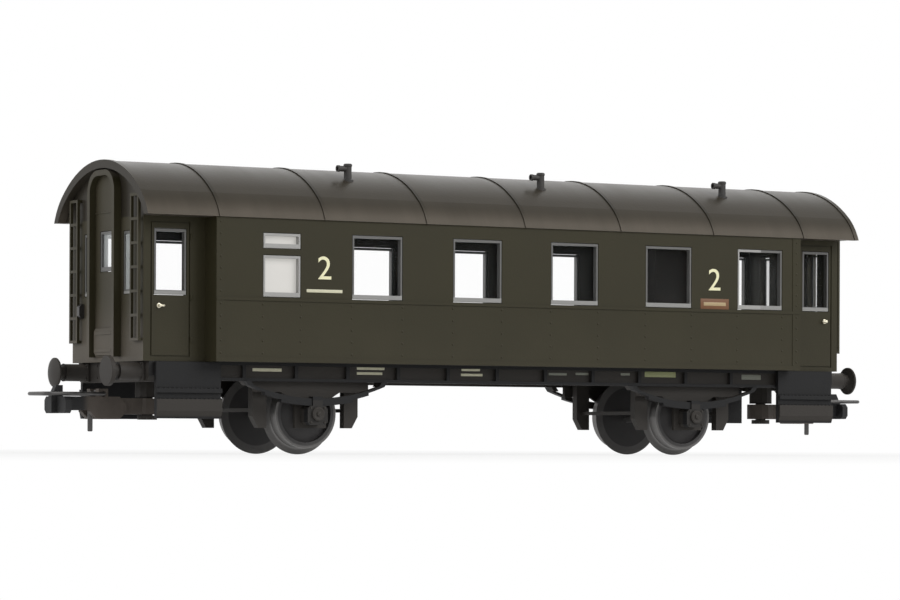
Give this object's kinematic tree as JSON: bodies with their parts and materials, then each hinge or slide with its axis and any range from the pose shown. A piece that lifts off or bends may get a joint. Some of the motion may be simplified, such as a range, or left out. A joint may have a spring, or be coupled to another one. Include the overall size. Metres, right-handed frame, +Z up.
{
  "type": "model railway passenger coach",
  "caption": "Two-axle passenger coach of a model railway in H0 size, with narrowed end vestibules, arched clip-on roof, turning wheelsets and swinging bow couplers.",
  "frame": {"origin": "middle of the coach in plan, on the plane that the wheel flanges stand on", "axes": "+X along the coach towards its rear end, +Y towards its right side, +Z up"},
  "size_m": [0.162, 0.0348, 0.0478],
  "materials": {
    "body_paint": "satin dark olive paint on a plastic moulding",
    "roof_paint": "matt grey-brown paint on a plastic moulding",
    "vent_black": "matt dark plastic",
    "chassis_black": "matt near-black moulded plastic",
    "coupler_grey": "dusty dark grey plastic",
    "ballast_steel": "cut steel sheet",
    "interior_plastic": "matt brown moulded plastic",
    "clear_glazing": "clear moulded plastic",
    "milky_glazing": "milky moulded plastic",
    "frame_grey": "satin grey paint",
    "handle_brass": "pale brass paint",
    "axle_steel": "turned steel",
    "wheel_black": "blackened metal with a worn tread",
    "bow_steel": "darkened steel wire"
  },
  "bodies": {
    "coach": {"axle_guard_front_left": "chassis_black", "axle_guard_front_right": "chassis_black", "axle_guard_rear_left": "chassis_black", "axle_guard_rear_right": "chassis_black", "ballast_plate": "ballast_steel", "body_shell": "body_paint", "brake_gear_front": "chassis_black", "brake_gear_rear": "chassis_black", "buffer_front_left": "chassis_black", "buffer_front_right": "chassis_black", "buffer_rear_left": "chassis_black", "buffer_rear_right": "chassis_black", "door_handles": "handle_brass", "end_glazing_front": "clear_glazing", "end_glazing_rear": "clear_glazing", "end_window_frames_front": "frame_grey", "end_window_frames_rear": "frame_grey", "fall_plate_front": "body_paint", "fall_plate_rear": "body_paint", "gangway_front": "body_paint", "gangway_rear": "body_paint", "interior_fittings": "interior_plastic", "ladders_front": "body_paint", "ladders_rear": "body_paint", "lamp_brackets": "bow_steel", "roof": "roof_paint", "roof_vents": "vent_black", "side_glazing_left": "clear_glazing", "side_glazing_right": "clear_glazing", "steps_front_left": "chassis_black", "steps_front_right": "chassis_black", "steps_rear_left": "chassis_black", "steps_rear_right": "chassis_black", "underframe": "chassis_black", "wc_panes": "milky_glazing", "window_frames_left": "frame_grey", "window_frames_right": "frame_grey"},
    "wheelset_front": {"axle_front": "axle_steel", "wheel_front_left": "wheel_black", "wheel_front_right": "wheel_black"},
    "wheelset_rear": {"axle_rear": "axle_steel", "wheel_rear_left": "wheel_black", "wheel_rear_right": "wheel_black"},
    "coupling_front": {"coupler_front": "coupler_grey"},
    "coupling_rear": {"coupler_rear": "coupler_grey"},
    "bow_front": {"coupler_bow_front": "bow_steel"},
    "bow_rear": {"coupler_bow_rear": "bow_steel"}
  },
  "joints": [
    {"name": "wheelset_front_spin", "type": "hinge", "parent": "coach", "child": "wheelset_front", "pos_m": [-0.0372, 0, 0.0066], "axis": [0, 1, 0], "continuous": true},
    {"name": "coupler_front_swing", "type": "hinge", "parent": "coach", "child": "coupling_front", "pos_m": [-0.061, 0, 0.0082], "axis": [0, 0, 1], "range_deg": [-15, 15]},
    {"name": "bow_front_lift", "type": "hinge", "parent": "coupling_front", "child": "bow_front", "pos_m": [-0.0699, 0, 0.00962], "axis": [0, 1, 0], "range_deg": [0, 25]},
    {"name": "wheelset_rear_spin", "type": "hinge", "parent": "coach", "child": "wheelset_rear", "pos_m": [0.0372, 0, 0.0066], "axis": [0, 1, 0], "continuous": true},
    {"name": "coupler_rear_swing", "type": "hinge", "parent": "coach", "child": "coupling_rear", "pos_m": [0.061, 0, 0.0082], "axis": [0, 0, 1], "range_deg": [-15, 15]},
    {"name": "bow_rear_lift", "type": "hinge", "parent": "coupling_rear", "child": "bow_rear", "pos_m": [0.0699, 0, 0.00962], "axis": [0, -1, 0], "range_deg": [0, 25]}
  ]
}
